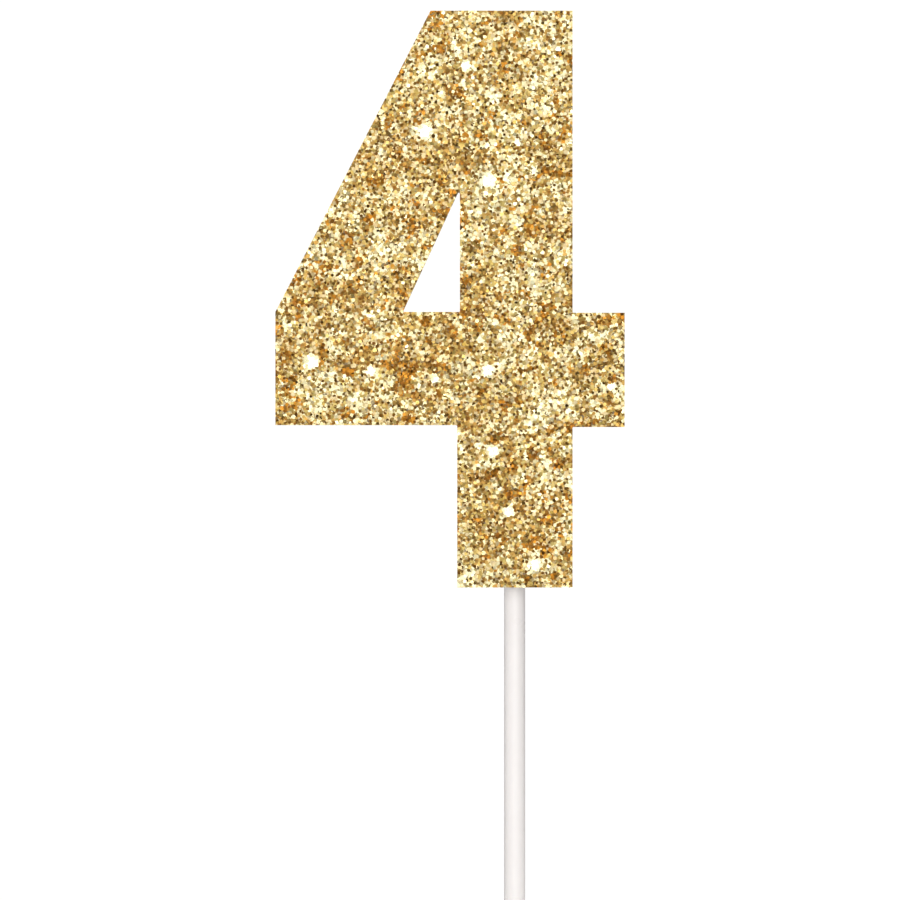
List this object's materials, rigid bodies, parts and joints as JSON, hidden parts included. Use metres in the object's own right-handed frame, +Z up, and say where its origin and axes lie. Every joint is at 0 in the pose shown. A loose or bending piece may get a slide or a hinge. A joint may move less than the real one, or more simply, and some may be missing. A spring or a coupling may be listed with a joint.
{
  "type": "number cake topper",
  "caption": "Flat numeral four with a gold glitter face, layered card body and triangular counter, bonded and strapped to a round white hollow stick.",
  "frame": {"origin": "centre of the stick's lower end, the end that goes into the cake", "axes": "+Z up along the stick and the numeral's height, +X to the right of someone facing the glitter, +Y towards the back, so the glitter looks towards -Y"},
  "size_m": [0.0653, 0.0066, 0.188],
  "materials": {
    "gold_glitter": "gloss",
    "amber_binder": "satin",
    "face_card": "matte",
    "clear_film": "gloss",
    "grey_board": "matte",
    "white_paper": "matte",
    "foam_tape": "matte",
    "white_plastic": "satin",
    "hot_melt": "gloss",
    "strap_card": "matte"
  },
  "bodies": {
    "root": {"glitter_coat": "gold_glitter", "glitter_binder": "amber_binder", "face_card": "face_card", "laminating_film": "clear_film", "stiffener_board": "grey_board", "back_liner": "white_paper", "mounting_tape": "foam_tape", "stick": "white_plastic", "glue_bead_left": "hot_melt", "glue_bead_right": "hot_melt", "lower_strap": "strap_card", "upper_strap": "strap_card"}
  },
  "joints": []
}
